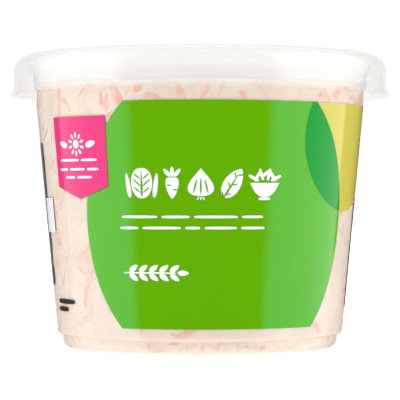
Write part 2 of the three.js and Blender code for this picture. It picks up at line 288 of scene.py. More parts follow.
def lid_outline():
    """The underside from the middle of the panel out to the lip, then the outer face back in."""
    crown_z = LID_TOP_Z - CROWN_ROUND
    flare_z = LIP_Z + FLARE_HEIGHT
    half_bead = BEAD_WIDTH / 2
    crown = arc(SKIRT_RADIUS - CROWN_ROUND, crown_z, CROWN_ROUND, 0, 90, steps=14)
    inner_radius = PLUG_RADIUS - SHEET + CROWN_INNER_ROUND
    inner_crown = arc(inner_radius, LID_TOP_Z - CROWN_INNER_ROUND, CROWN_INNER_ROUND, 90, 180)
    under = [
        (0, PANEL_Z - SHEET),
        (PLUG_RADIUS - SHEET, PANEL_Z - SHEET),
        (PLUG_RADIUS, PANEL_Z),
        (PLUG_RADIUS, LID_TOP_Z - 1.6 * SHEET),
        (PLUG_RADIUS + 0.6 * SHEET, LID_TOP_Z - SHEET),
        (SNAP_RADIUS - SHEET, LID_TOP_Z - SHEET),
        (SNAP_RADIUS - SHEET, SNAP_FOOT_Z),
        (SNAP_RADIUS, SNAP_FOOT_Z),
        (SNAP_RADIUS, LID_TOP_Z - 1.6 * SHEET),
        (SKIRT_RADIUS - SHEET, crown_z),
        (SKIRT_RADIUS - SHEET, flare_z),
        (LIP_RADIUS - 1.3 * SHEET, LIP_Z + 0.4 * SHEET),
        (LIP_RADIUS - 0.7 * SHEET, LIP_Z),
        (LIP_RADIUS, LIP_Z + 0.7 * SHEET),
        (SKIRT_RADIUS + 0.7 * SHEET, LIP_Z + 1.7 * SHEET),
        (SKIRT_RADIUS + 0.25 * SHEET, LIP_Z + 2.5 * SHEET),
        (SKIRT_RADIUS, flare_z),
        crown[0],
    ]
    panel = [
        inner_crown[-1],
        (PLUG_RADIUS - SHEET, PANEL_Z + SHEET),
        (PLUG_RADIUS - 2 * SHEET, PANEL_Z),
        (BEAD_RADIUS + half_bead, PANEL_Z),
        (BEAD_RADIUS + half_bead / 2, PANEL_Z + BEAD_HEIGHT),
        (BEAD_RADIUS - half_bead / 2, PANEL_Z + BEAD_HEIGHT),
        (BEAD_RADIUS - half_bead, PANEL_Z),
        (0, PANEL_Z),
    ]
    edge = 0.35 * MM
    return fine(np.concatenate([softened(under, edge)[:-1], crown, inner_crown, softened(panel, edge)[1:]]))


# -------- printed fields


def printed(left, right, layer, step=0.9 * MM):
    """A printed field on the wall between a left and a right edge, both rows of (angle, z). Each row of
    points runs across the face and back across the rear, INK apart, and the end rows are folded shut."""
    reach = np.hypot(np.radians(right[:, 0] - left[:, 0]) * WALL_TOP_RADIUS, right[:, 1] - left[:, 1])
    columns = max(3, int(reach.max() / step) + 1)
    share = np.linspace(0, 1, columns)[None, :]
    angle = left[:, :1] + (right - left)[:, :1] * share
    z = left[:, 1:] + (right - left)[:, 1:] * share
    rear = wall(z) + (2 * layer + 1) * INK
    points = np.concatenate([around(angle, rear + INK, z), around(angle, rear, z)[:, ::-1]], axis=1)
    numbers = numbered(len(left), 2 * columns)
    for row in (0, -1):
        numbers[row, columns:] = numbers[row, :columns][::-1]
    return woven(points, numbers)


def level_rows(z, left, right, layer):
    """A printed field whose rows are level: its left and right angle at each height z."""
    return printed(np.column_stack([left, z]), np.column_stack([right, z]), layer)


def disc_edges(disc, z):
    """Left and right angle of a disc at height z. On the flat sheet that the wall unrolls to, a height is a
    circle about the cone's apex and the disc an ellipse, and where the two meet solves a quadratic."""
    middle = wall(disc["z"]) / TAPER
    reach = (WALL_FOOT_RADIUS + SLOPE * (z - WALL_FOOT_Z)) / TAPER
    wide, tall = disc["half_width"] ** -2, disc["half_height"] ** -2
    square, single = tall - wide, -2 * middle * tall
    rest = middle**2 * tall + reach**2 * wide - 1
    up = 2 * rest / (-single + np.sqrt(np.maximum(single**2 - 4 * square * rest, 0)))
    across = np.sqrt(np.maximum(reach**2 - up**2, 0))
    half = np.degrees(np.arctan2(across, up)) / TAPER
    return disc["angle"] - half, disc["angle"] + half


def box(field, layer):
    """A field between two angles and two heights."""
    z = np.linspace(field["bottom_z"], field["top_z"], 12)
    return level_rows(z, np.full_like(z, field["left"]), np.full_like(z, field["right"]), layer)


def green_field():
    """The green disc, cut off level at the label's top and bottom."""
    z = np.linspace(LABEL_BOTTOM_Z, LABEL_TOP_Z, 64)
    return level_rows(z, *disc_edges(GREEN_DISC, z), GREEN_LAYER)


def from_tip(tip_z, count=48):
    """Heights from just above a round lower end at tip_z up to the label's top, closer together near the
    end: 1 less the cosine of angles up to a quarter turn."""
    return tip_z + (LABEL_TOP_Z - tip_z) * (1 - np.cos(np.linspace(0.04, math.pi / 2, count)))


def yellow_foot():
    """Height of the lowest point of the yellow disc."""
    return YELLOW_DISC["z"] - YELLOW_DISC["half_height"] * math.cos(math.atan(SLOPE))


def yellow_field():
    """The yellow disc, cut off level at the label's top."""
    z = from_tip(yellow_foot())
    return level_rows(z, *disc_edges(YELLOW_DISC, z), YELLOW_LAYER)


def lens_field():
    """Where the two discs cross: from the yellow one's left edge to the green one's right edge."""
    tried = np.linspace(yellow_foot(), LABEL_TOP_Z, 4000)
    crossing = disc_edges(GREEN_DISC, tried)[1] > disc_edges(YELLOW_DISC, tried)[0]
    z = from_tip(tried[crossing][0])
    return level_rows(z, disc_edges(YELLOW_DISC, z)[0], disc_edges(GREEN_DISC, z)[1], LENS_LAYER)


def flag_field(layer, aside=0.0, down=0.0):
    """A square whose lower edge runs down to a point in the middle. A shadow of it lies aside and down."""
    tip, shoulder, top = (FLAG[name] - down for name in ("tip_z", "shoulder_z", "top_z"))
    z = np.concatenate([np.linspace(tip + INK, shoulder, 8), np.linspace(shoulder, top, 20)[1:]])
    half = FLAG["half_angle"] * np.clip((z - tip) / (shoulder - tip), 0, 1)
    middle = FLAG["angle"] + aside
    return level_rows(z, middle - half, middle + half, layer)


# -------- printed marks


def oval(length, width, top=1.0, bottom=1.0, steps=20):
    """Half widths and heights of an upright form, for t over nearly half a turn. The height is the cosine of
    t. The width is the sine of t/2 to the power top, times its cosine to the power bottom: 1 gives a round
    end, a higher power a pointed one and a lower power a blunt one."""
    cut = 0.12
    t = np.linspace(cut, math.pi - cut, steps)
    half = np.sin(t / 2) ** top * np.cos(t / 2) ** bottom
    return width / 2 * half / half.max(), length / 2 * np.cos(t)


def mark(place, form, across=0.0, up=0.0, tilt=0.0, layer=MARK_LAYER):
    """A form printed about a place (angle, z, size) on the wall: turned clockwise by tilt in degrees, moved
    across and up, then scaled by the size. A distance across, over the wall's radius, is an angle."""
    angle, z, size = place
    half, height = form
    turn = math.radians(tilt)
    edges = []
    for side in (-1, 1):
        x = side * half * math.cos(turn) + height * math.sin(turn) + across
        y = height * math.cos(turn) - side * half * math.sin(turn) + up
        edges.append(np.column_stack([angle + np.degrees(size * x / wall(z)), z + size * y]))
    return printed(*edges, layer)


def bar(place, length, thickness, across=0.0, up=0.0, layer=MARK_LAYER):
    """A level bar with round ends, from across to the right."""
    form = oval(length, thickness, top=0.3, bottom=0.3, steps=12)
    return mark(place, form, across + length / 2, up, tilt=90, layer=layer)


def cabbage_mark(place):
    """A round head with two wrapper leaves beside it, and its veins."""
    ink = [mark(place, oval(8.6 * MM, 6.4 * MM, 0.8, 0.9))]
    veins = [mark(place, oval(7.6 * MM, 0.65 * MM, 1.6, 0.6), layer=VEIN_LAYER)]
    for side in (-1, 1):
        for up, length in ((2.0, 2.6), (0.1, 3.4), (-1.9, 2.6)):
            form = oval(length * MM, 0.45 * MM)
            veins.append(mark(place, form, side * 1.4 * MM, up * MM, side * 50, layer=VEIN_LAYER))
        ink.append(mark(place, oval(7.0 * MM, 1.4 * MM, 1.2, 0.8), side * 4.15 * MM, -0.6 * MM, side * 8))
    return ink, veins


def carrot_mark(place):
    """A tapered root with two short grooves, under three leaves."""
    ink = [mark(place, oval(6.0 * MM, 3.8 * MM, 0.45, 1.4), up=-1.4 * MM)]
    veins = []
    for side, up in ((-1, -0.6), (1, -1.9)):
        veins.append(mark(place, oval(1.5 * MM, 0.4 * MM), side * 0.9 * MM, up * MM, 90, layer=VEIN_LAYER))
    for side in (-1, 0, 1):
        leaf = oval(2.9 * MM, 1.15 * MM, 1.2, 1.2)
        ink.append(mark(place, leaf, side * 1.45 * MM, (3.2 - 0.3 * abs(side)) * MM, side * 40))
    return ink, veins


def onion_mark(place):
    """A bulb drawn out to a point, with three lines down it and three roots under it."""
    ink = [mark(place, oval(7.9 * MM, 7.4 * MM, 2.4, 0.9), up=0.3 * MM)]
    veins = []
    for side in (-1, 0, 1):
        line = oval((4.6 - 0.6 * abs(side)) * MM, 0.5 * MM)
        veins.append(mark(place, line, side * 1.6 * MM, -0.9 * MM, side * -14, layer=VEIN_LAYER))
        ink.append(mark(place, oval(1.0 * MM, 0.4 * MM), side * 0.8 * MM, -4.3 * MM, side * -35))
    return ink, veins


def leaf_mark(place):
    """A leaning leaf and its veins."""
    lean = 32
    midrib = oval(7.6 * MM, 0.6 * MM, 1.4, 0.5)
    ink = [mark(place, oval(9.4 * MM, 5.0 * MM, 1.5, 1.1), tilt=lean)]
    veins = [mark(place, midrib, -0.5 * MM, -0.8 * MM, lean, layer=VEIN_LAYER)]
    for share in (-0.35, -0.05, 0.25):
        for side in (-1, 1):
            x, y = share * 6.0 * MM + side * 0.75 * MM, share * 9.0 * MM
            veins.append(mark(place, oval(1.9 * MM, 0.4 * MM), x, y, lean + side * 48, layer=VEIN_LAYER))
    return ink, veins


def bowl_mark(place):
    """A bowl on its foot, heaped with shreds."""
    ink = [mark(place, oval(4.0 * MM, 9.0 * MM, 0.0, 0.8), up=-1.9 * MM)]
    ink.append(bar(place, 3.6 * MM, 0.8 * MM, across=-1.8 * MM, up=-4.4 * MM))
    tilts = (-62, 28, -20, 50, 12, -35, 66)
    for step, tilt in enumerate(tilts):
        shred = oval(3.4 * MM, 0.95 * MM, 0.5, 0.5)
        up = 1.1 * MM + 1.5 * MM * math.sin((step + 0.5) * math.pi / len(tilts))
        ink.append(mark(place, shred, (step - 3) * 1.15 * MM, up, tilt, layer=MARK_LAYER + step % 2))
    return ink, []


def sprig_mark(place, length):
    """A level stem with a leaf at its end and pairs of leaves along it."""
    ink = [bar(place, length - 3.8 * MM, 0.5 * MM, across=-length / 2)]
    leaf = oval(3.3 * MM, 1.6 * MM, 1.4, 1.0)
    ink.append(mark(place, leaf, length / 2 - 1.7 * MM, 0.0, 90))
    for across in np.arange(3.4 * MM - length / 2, length / 2 - 4 * MM, 3.2 * MM):
        for side in (-1, 1):
            ink.append(mark(place, leaf, across, side * 1.35 * MM, 90 - side * 36))
    return ink


def burst_mark(place):
    """A disc with rays all round it, between two leaves."""
    ink = [mark(place, oval(2.6 * MM, 2.6 * MM))]
    reach = 2.75 * MM
    for turn in range(0, 360, 36):
        x, y = reach * math.sin(math.radians(turn)), reach * math.cos(math.radians(turn))
        ink.append(mark(place, oval(1.7 * MM, 0.8 * MM, 0.6, 1.0), x, y, turn))
    for side in (-1, 1):
        ink.append(mark(place, oval(4.0 * MM, 1.9 * MM, 1.3, 1.0), side * 6.3 * MM, 0.0, side * 75))
    return ink


def words(angle, rows, thickness, gap=0.0, start=None, layer=MARK_LAYER):
    """Rows of bars in the place of words, each centred on the angle or begun at start."""
    ink = []
    for z, row in rows.items():
        lengths = [length * MM for length in row]
        across = -(sum(lengths) + gap * (len(lengths) - 1)) / 2 if start is None else start
        for length in lengths:
            ink.append(bar((angle, z * MM, 1.0), length, thickness, across, layer=layer))
            across += length + gap
    return ink


def small_print(field, columns, pitch):
    """Bars of random lengths in rows, in the place of words, in even columns within a field's margins."""
    margin = 3 * MM
    gap = 1.1 * MM
    thickness = 0.55 * MM
    rows = int((field["top_z"] - field["bottom_z"] - 2 * margin) / pitch) + 1
    ink = []
    for row in range(rows):
        z = field["top_z"] - margin - row * pitch
        width = math.radians(field["right"] - field["left"]) * wall(z) / columns
        for column in range(columns):
            start = math.degrees((column * width + margin) / wall(z))
            across, end = 0.0, (width - 1.5 * margin) * chance.uniform(0.6, 1.0)
            while across < end:
                length = chance.uniform(1.8, 7.0) * MM
                place = (field["left"] + start, z, 1.0)
                ink.append(bar(place, length, thickness, across, layer=PANEL_MARK_LAYER))
                across += length + gap
    return ink


def table_rules(field, rows):
    """Level hairlines that divide a field into rows."""
    line = 0.14 * MM
    inset = 3.0  # degrees
    border = 0.06
    left, right = field["left"] + inset, field["right"] - inset
    ink = []
    for row in range(rows + 1):
        share = border + (1 - 2 * border) * row / rows
        z = field["bottom_z"] + share * (field["top_z"] - field["bottom_z"])
        rule = {"left": left, "right": right, "bottom_z": z, "top_z": z + line}
        ink.append(box(rule, PANEL_MARK_LAYER))
    return ink


# -------- slaw


def slaw_radius(z):
    """Outer radius of the slaw at height z, pressed against the tub: the tub's outer face less the inset. In
    the rounded foot it is the base's radius plus the root of a squared less b squared: a is the corner's
    radius less the foot's inset, b how far z lies below the corner's middle."""
    below = np.clip(FOOT_CORNER - z, 0, FOOT_CORNER - FOOT_INSET)
    foot = BASE_RADIUS + np.sqrt((FOOT_CORNER - FOOT_INSET) ** 2 - below**2)
    return np.where(z < FOOT_HEIGHT, foot, wall(z) - SLAW_INSET)


def heap_height(x, y):
    """Height of the slaw's uneven top: a level plus a sum of plane waves with random directions, lengths and
    phases, which dips towards the wall."""
    along = x[..., None] * np.cos(WAVE_HEADINGS) + y[..., None] * np.sin(WAVE_HEADINGS)
    swell = np.sin(2 * math.pi * along / WAVE_LENGTHS + WAVE_PHASES).sum(axis=-1) / math.sqrt(WAVES)
    edge = np.clip((SLAW_TOP_RADIUS - np.hypot(x, y)) / HEAP_DIP_WIDTH, 0, 1)
    return SLAW_TOP_Z - HEAP_DIP * (1 - edge) + HEAP_SWELL * swell * edge


def dressing_core():
    """The dressing: the slaw's outline turned about the axis, and its top lifted to the heap's height."""
    foot = arc(BASE_RADIUS, FOOT_CORNER, FOOT_CORNER - FOOT_INSET, -90, 0)
    step_z = WALL_FOOT_Z + SLAW_INSET / 2
    side = [
        (FOOT_RADIUS - FOOT_INSET, FOOT_HEIGHT),
        (slaw_radius(step_z), step_z),
        (slaw_radius(WALL_TOP_Z), WALL_TOP_Z),
        (slaw_radius(BAND_TOP_Z), BAND_TOP_Z),
        (NECK_RADIUS - 0.5 * MM, SLAW_SHOULDER_Z),
        (NECK_RADIUS - 1.6 * MM, SLAW_SHOULDER_Z + 0.5 * MM),
        (SLAW_TOP_RADIUS, SLAW_TOP_Z - HEAP_DIP),
    ]
    side = fine(np.concatenate([[(0, FOOT_INSET)], foot, softened(side, 0.5 * MM)]))
    rings = np.linspace(SLAW_TOP_RADIUS, 0, 60)[1:]
    top = np.column_stack([rings, np.full_like(rings, SLAW_TOP_Z)])
    points, quads = turned(np.concatenate([side, top]))
    upper = slice(len(side) * TURNS, None)
    points[upper, 2] = heap_height(points[upper, 0], points[upper, 1])
    return points, quads


def shreds(path, outward, width, rise):
    """Closed flat tubes along many paths at once. Across each, a half ellipse rises outward and another
    sinks inward, and both shrink to a point at the ends by the root of 1 less the sixth power of the
    distance from the middle. The width also swells and thins along the tube by a sine. cover is 1 along the
    middle of the outer face and falls to 0 at its edges and ends."""
    count, steps = path.shape[:2]
    along = np.gradient(path, axis=1)
    across = np.cross(outward, along)
    across /= np.linalg.norm(across, axis=-1, keepdims=True)
    share = np.linspace(-1, 1, steps)[None, :, None]
    narrowing = np.sqrt(1 - share**6)
    swell = 1 + 0.35 * np.sin(3.5 * share + spread(0, 6, count)[..., None])
    turn = np.linspace(0, 2 * math.pi, SHRED_SIDES, endpoint=False)[None, None, :]
    sideways = width[:, :, None] / 2 * narrowing * swell * np.cos(turn)
    height = np.where(np.sin(turn) > 0, rise[:, :, None], SHRED_SINK) * narrowing * np.sin(turn)
    points = path[:, :, None] + across[:, :, None] * sideways[..., None]
    points = points + outward[:, :, None] * height[..., None]
    cover = np.clip(np.sin(turn), 0, 1) ** 0.8 * (1 - share**4) * np.ones((count, 1, 1))
    numbers = numbered(count, steps, SHRED_SIDES)
    numbers[:, 0], numbers[:, -1] = numbers[:, 0, :1], numbers[:, -1, :1]
    return woven(points, numbers), cover


def wandering(count, length, curl):
    """Flat paths through 0: the heading starts at random, turns evenly by curl over the whole length and
    sways, and the sum of its steps gives the path."""
    share = np.linspace(-0.5, 0.5, SHRED_STEPS)[None, :]
    sway = spread(-0.35, 0.35, count) * np.sin(7 * share + spread(0, 6, count))
    heading = spread(0, math.pi, count) + curl * share + sway
    step = length / (SHRED_STEPS - 1)
    x = np.cumsum(np.cos(heading) * step, axis=1)
    y = np.cumsum(np.sin(heading) * step, axis=1)
    return x - x.mean(axis=1, keepdims=True), y - y.mean(axis=1, keepdims=True)


def scattered(count):
    """Two columns of numbers from 0 to 1 that fill a square evenly: multiples of 1 over the plastic number
    and of that squared, without their whole parts, after a random start."""
    order = np.arange(count)[:, None] + chance.uniform(0, 1000)
    return np.mod(order * 0.7548776662, 1), np.mod(order * 0.5698402910, 1)


def wall_shreds(count, lengths, widths, rise, low=6.6 * MM, high=81.5 * MM, aside=0.0):
    """Shreds pressed against the wall between two heights, bent within its surface, with their middles just
    clear of the dressing. All of them are turned about the axis by aside, in degrees."""
    length, width = spread(*lengths, count), spread(*widths, count)
    x, y = wandering(count, length, spread(-1.6, 1.6, count))
    turn, level = scattered(count)
    z = np.clip(low + level * (high - low) + y, low, high)
    angle = 360 * turn + aside + np.degrees(x / wall(z))
    path = around(angle, slaw_radius(z), z)
    outward = around(angle, 1.0, 0.0)
    return shreds(path, outward, width, spread(0.3, 1, count) * rise)


def top_shreds(count, lengths, widths):
    """Shreds that lie on the heap in curves, their middles lifted off it by a sine."""
    ceiling = PANEL_Z - SHEET - 0.9 * MM
    length, width = spread(*lengths, count), spread(*widths, count)
    x, y = wandering(count, length, spread(-2.4, 2.4, count))
    turn, share = scattered(count)
    place = around(360 * turn, (SLAW_TOP_RADIUS - 1 * MM) * np.sqrt(share), 0.0)
    x, y = x + place[..., 0], y + place[..., 1]
    reach = np.hypot(x, y)
    pull = np.minimum(1, (SLAW_TOP_RADIUS - width / 2) / reach)
    x, y = x * pull, y * pull
    lift = spread(0.1, 1.3, count) * MM * np.sin(np.linspace(0, math.pi, SHRED_STEPS))
    z = np.minimum(heap_height(x, y) + lift, ceiling)
    path = np.stack([x, y, z], axis=-1)
    outward = np.broadcast_to([0.0, 0.0, 1.0], path.shape)
    return shreds(path, outward, width, np.full((count, 1), 0.55 * MM))


def slaw_piece(name, groups, material):
    """One kind of shred as a joined mesh, with the layers that its material reads: cover, and a shade of its
    own for each shred."""
    shape = joined([group[0] for group in groups])
    cover = np.concatenate([group[1].ravel() for group in groups])
    shade = np.concatenate([np.repeat(spread(0, 1, len(group[1])), group[1][0].size) for group in groups])
    piece(name, shape, material, ["coleslaw"], {"cover": cover, "shade": shade})


# -------- shader maths


class Socket:
    """An output in a node tree. Arithmetic with numbers and other sockets adds Math nodes."""

    def __init__(self, paint, output):
        self.paint = paint
        self.output = output

    def __add__(self, other):
        return self.paint.maths("ADD", self, other)

    __radd__ = __add__

    def __mul__(self, other):
        return self.paint.maths("MULTIPLY", self, other)

    __rmul__ = __mul__

    def __sub__(self, other):
        return self.paint.maths("SUBTRACT", self, other)

    def __rsub__(self, other):
        return self.paint.maths("SUBTRACT", other, self)

    def __pow__(self, other):
        return self.paint.maths("POWER", self, other)

    def rising(self, low, high):
        """0 below low, 1 above high and a smooth rise between them."""
        inputs = {"Value": self, "From Min": low, "From Max": high}
        return self.paint.add("MapRange", {"interpolation_type": "SMOOTHSTEP"}, inputs)


class Paint:
    """The node tree of a material or world, emptied."""

    def __init__(self, owner):
        owner.use_nodes = True
        self.owner = owner
        self.tree = owner.node_tree
        self.tree.nodes.clear()

    def node(self, kind, settings=None, inputs=None):
        """Any node: its type, then its settings, then the values or links of its sockets."""
        node = self.tree.nodes.new("ShaderNode" + kind)
        for name, value in (settings or {}).items():
            setattr(node, name, value)
        for name, value in (inputs or {}).items():
            if isinstance(value, Socket):
                self.tree.links.new(value.output, node.inputs[name])
            else:
                node.inputs[name].default_value = value
        return node

    def add(self, kind, settings=None, inputs=None, output=0):
        """Any node, as the output asked for."""
        return Socket(self, self.node(kind, settings, inputs).outputs[output])

    def finish(self, surface):
        """Ends the tree in its output, and gives the material or world back."""
        kind = "OutputWorld" if isinstance(self.owner, bpy.types.World) else "OutputMaterial"
        self.node(kind, None, {"Surface": surface})
        return self.owner

    def maths(self, operation, *values):
        """A sum, product or other result of numbers and sockets."""
        return self.add("Math", {"operation": operation}, dict(enumerate(values)))

    def place(self):
        """Where a point lies, in metres."""
        return self.add("TexCoord", output="Object")

    def split(self, vector):
        """The x, y and z of a vector."""
        return [Socket(self, output) for output in self.node("SeparateXYZ", None, {0: vector}).outputs]

    def stretched(self, vector, scale):
        """A vector times another, part by part."""
        return self.add("VectorMath", {"operation": "MULTIPLY"}, {0: vector, 1: scale})

    def noise(self, vector, size, detail=2.0, distortion=0.0):
        """Noise from 0 to 1 whose patches are about size across."""
        inputs = {"Vector": vector, "Scale": 1 / size, "Detail": detail, "Distortion": distortion}
        return self.add("TexNoise", None, inputs)

    def layer(self, name):
        """A mesh's numbers for each vertex, by their name."""
        return self.add("Attribute", {"attribute_name": name}, output="Fac")

    def mix(self, share, first, second):
        """A colour between two others."""
        return self.add("Mix", {"data_type": "RGBA"}, {0: share, 6: first, 7: second}, output=2)

    def slant(self):
        """1 less the cosine of the angle that a face is seen at, alike from both of its sides."""
        return self.add("LayerWeight", None, {"Blend": 0.5}, output="Facing")

    def bump(self, height, distance):
        """A relief, where a height of 1 stands out by distance."""
        return self.add("Bump", None, {"Height": height, "Distance": distance})

    def ripple(self, place):
        """The faint unevenness of moulded plastic."""
        return self.bump(self.noise(place, 9 * MM), 0.02 * MM)

    def shader(self, kind, **inputs):
        """A shader, with its sockets by name."""
        return self.add(kind, None, {name.replace("_", " "): value for name, value in inputs.items()})

    def shader_mix(self, share, first, second):
        """A shader between two others."""
        return self.add("MixShader", None, {0: share, 1: first, 2: second})


def colour(red, green, blue):
    """A colour given in 8-bit steps as the linear one that shaders take."""
    steps = np.array([red, green, blue]) / 255
    linear = np.where(steps <= 0.04045, steps / 12.92, ((steps + 0.055) / 1.055) ** 2.4)
    return (*linear.tolist(), 1.0)


WHITE = (1.0, 1.0, 1.0, 1.0)


def fade(level, low, high):
    """Where a finish changes: from low to high mm past a level, which is a height or a radius."""
    return level + low * MM, level + high * MM


FOOT_Z = fade(FOOT_HEIGHT, -1.3, -0.3)
DRY_Z = fade(SLAW_SHOULDER_Z, -0.4, 0.6)  # the wall is dry inside above it
RIM_Z = fade(NECK_TOP_Z, -1.2, 1.3)
OUTER_RADIUS = fade(SKIRT_RADIUS, -1.8, -0.8)  # the lid's skirt lies beyond it
LIP_TOP_Z = fade(LIP_Z, 0.5, 1.3)
FLARE_TOP_Z = fade(LIP_Z, 2.1, 3.6)
CREST_Z = fade(LID_TOP_Z, -1.1, -0.4)  # the top of the lid's crown lies above it
# where painted light from the floor fades out of the slaw's colour, in the foot and low down
PAINTED_FOOT_LIGHT_Z = fade(FOOT_HEIGHT, -1.3, 1.7)
PAINTED_LOW_LIGHT_Z = fade(WALL_FOOT_Z, 3.3, 27.3)
OPEN_SLAW_Z = fade(SLAW_SHOULDER_Z, -0.6, 0.4)  # the slaw is free of the wall above it
# where painted light on top of the heap fades into the slaw's colour
PAINTED_TOP_LIGHT_Z = fade(SLAW_SHOULDER_Z, -0.2, 0.6)

# -------- materials


def clear_plastic():
    """Clear wall: mostly transparent, a mirror at its edges by the fifth power of the slant, with a faint
    milky haze that is strong where the wall is dry inside. Light that would pass along the wall is lost in
    it: by the tenth power of the slant, by the sixth where it is dry, both less in the rim, and by the
    square in the foot."""
    paint = Paint(bpy.data.materials.new("clear_plastic"))
    place = paint.place()
    height = paint.split(place)[2]
    slant = paint.slant()
    ripple = paint.ripple(place)
    dry = height.rising(*DRY_Z)
    rim = height.rising(*RIM_Z)
    foot = 1 - height.rising(*FOOT_Z)
    streaks = paint.noise(paint.stretched(place, (1, 1, 0.15)), 6 * MM)
    haze = 0.015 + 0.49 * dry + 0.03 * streaks
    loss = (0.4 * slant**10 + 0.3 * dry * slant**6) * (1 - 0.8 * rim) + 0.08 * foot * slant**2
    through = paint.shader("BsdfTransparent", Color=WHITE)
    lost = paint.shader("BsdfTransparent", Color=(0.3, 0.3, 0.3, 1.0))
    mirror = paint.shader("BsdfGlossy", Color=WHITE, Roughness=0.06, Normal=ripple)
    milk = paint.shader("BsdfPrincipled", Base_Color=colour(238, 235, 233), Roughness=0.25, Normal=ripple)
    clear = paint.shader_mix(0.02 + 0.38 * slant**5, through, mirror)
    return paint.finish(paint.shader_mix(loss, paint.shader_mix(haze, clear, milk), lost))


def milky_plastic():
    """Translucent white lid: each face shows part of what is behind it, less of it in the skirt the more
    slanted the view and more of it in the thin lip, and scatters light from both sides. Light that would
    pass along the skirt and the crown's top is lost in them, by powers of the slant."""
    paint = Paint(bpy.data.materials.new("milky_plastic"))
    place = paint.place()
    x, y, height = paint.split(place)
    slant = paint.slant()
    ripple = paint.ripple(place)
    flow = paint.noise(place, 14 * MM, detail=3.0)
    outer = ((x * x + y * y) ** 0.5).rising(*OUTER_RADIUS)
    crest = height.rising(*CREST_Z)
    lip = 1 - height.rising(*LIP_TOP_Z)
    flare = 1 - height.rising(*FLARE_TOP_Z)
    milk_share = (0.21 + 0.05 * flow + 0.12 * outer * slant**3) * (1 - 0.85 * lip)
    loss = (0.2 - 0.12 * flare) * outer * slant**2 + 0.3 * crest * slant**8
    through = paint.shader("BsdfTransparent", Color=WHITE)
    lost = paint.shader("BsdfTransparent", Color=(0.6, 0.6, 0.6, 1.0))
    mirror = paint.shader("BsdfGlossy", Color=WHITE, Roughness=0.15, Normal=ripple)
    clear = paint.shader_mix(0.03, paint.shader_mix(loss, through, lost), mirror)
    white = colour(244, 245, 244)
    face = paint.shader("BsdfPrincipled", Base_Color=white, Roughness=0.3, Normal=ripple)
    back = paint.shader("BsdfTranslucent", Color=white)
    milk = paint.shader_mix(0.35, face, back)
    return paint.finish(paint.shader_mix(milk_share, clear, milk))


def dressing_colour(paint, place):
    """Cream that turns lighter and deeper in soft patches, with faint drawn-out streaks. Painted light makes
    it paler in the foot and low down, as if lit from the floor, and paler on top of the heap, as if lit from
    above."""
    height = paint.split(place)[2]
    patch = paint.noise(place, 7 * MM, detail=3.0, distortion=0.6).rising(0.35, 0.65)
    drawn_out = paint.stretched(place, (1, 1, 2.6))
    streak = paint.noise(drawn_out, 3.2 * MM, detail=3.0, distortion=1.5).rising(0.35, 0.8)
    # painted light: the cream is paler in the foot and low down, as if lit from the floor under it
    low = 0.75 - 0.45 * height.rising(*PAINTED_FOOT_LIGHT_Z) - 0.3 * height.rising(*PAINTED_LOW_LIGHT_Z)
    cream = paint.mix(0.2 + 0.6 * patch, colour(233, 218, 203), colour(221, 200, 184))
    cream = paint.mix(0.4 * streak, cream, colour(232, 216, 202))
    cream = paint.mix(low, cream, colour(243, 229, 215))
    # painted light: the cream is paler on top of the heap, as if lit from above
    return paint.mix(0.45 * height.rising(*PAINTED_TOP_LIGHT_Z), cream, colour(250, 234, 214))


def slaw_surface(paint, tone, grain_size):
    """Wet slaw: a faint gloss where it touches the wall, and a wet coat on top of the heap."""
    place = paint.place()
    return paint.shader(
        "BsdfPrincipled",
        Base_Color=tone,
        Roughness=0.5,
        Specular_IOR_Level=0.2,
        Coat_Weight=0.5 * paint.split(place)[2].rising(*OPEN_SLAW_Z),
        Coat_Roughness=0.15,
        Normal=paint.bump(paint.noise(place, grain_size, detail=3.0), 0.12 * MM),
    )


def dressing():
    """The cream that binds the shreds."""
    paint = Paint(bpy.data.materials.new("dressing"))
    return paint.finish(slaw_surface(paint, dressing_colour(paint, paint.place()), 2.2 * MM))


def shred_finish(name, pale, deep, strength):
    """A shred under dressing. Its own colour lies between pale and deep, by its shade and by fine fibres. It
    shows along the shred's middle, by cover, in blotches where the dressing is thin, and fades into the
    dressing's colour at the edges."""
    paint = Paint(bpy.data.materials.new(name))
    place = paint.place()
    shade = paint.layer("shade")
    fibre = paint.noise(place, 0.9 * MM)
    own = paint.mix(0.65 * shade + 0.35 * fibre, pale, deep)
    blotches = 0.4 + 0.6 * paint.noise(place, 3 * MM, detail=3.0).rising(0.35, 0.6)
    share = strength * (0.35 + 0.65 * shade) * blotches * paint.layer("cover")
    return paint.finish(slaw_surface(paint, paint.mix(share, dressing_colour(paint, place), own), 1.0 * MM))


def print_finish(name, tone, roughness=0.08, tint=WHITE, level=0.5):
    """Glossy print moulded into the wall: an even ink whose density drifts a little, over a faint ripple.
    tint and level are the colour and strength of its gloss seen straight on."""
    paint = Paint(bpy.data.materials.new(name))
    place = paint.place()
    deeper = (*(0.95 * channel for channel in tone[:3]), 1.0)
    gloss = paint.shader(
        "BsdfPrincipled",
        Base_Color=paint.mix(paint.noise(place, 18 * MM, detail=3.0), tone, deeper),
        Roughness=roughness,
        Specular_IOR_Level=level,
        Specular_Tint=tint,
        Normal=paint.ripple(place),
    )
    return paint.finish(gloss)


def shade_finish(name, density):
    """A thin dark ink that lets the print under it show through."""
    paint = Paint(bpy.data.materials.new(name))
    dark = paint.shader("BsdfPrincipled", Base_Color=(0.01, 0.01, 0.01, 1.0), Roughness=0.3)
    return paint.finish(paint.shader_mix(density, paint.shader("BsdfTransparent", Color=WHITE), dark))


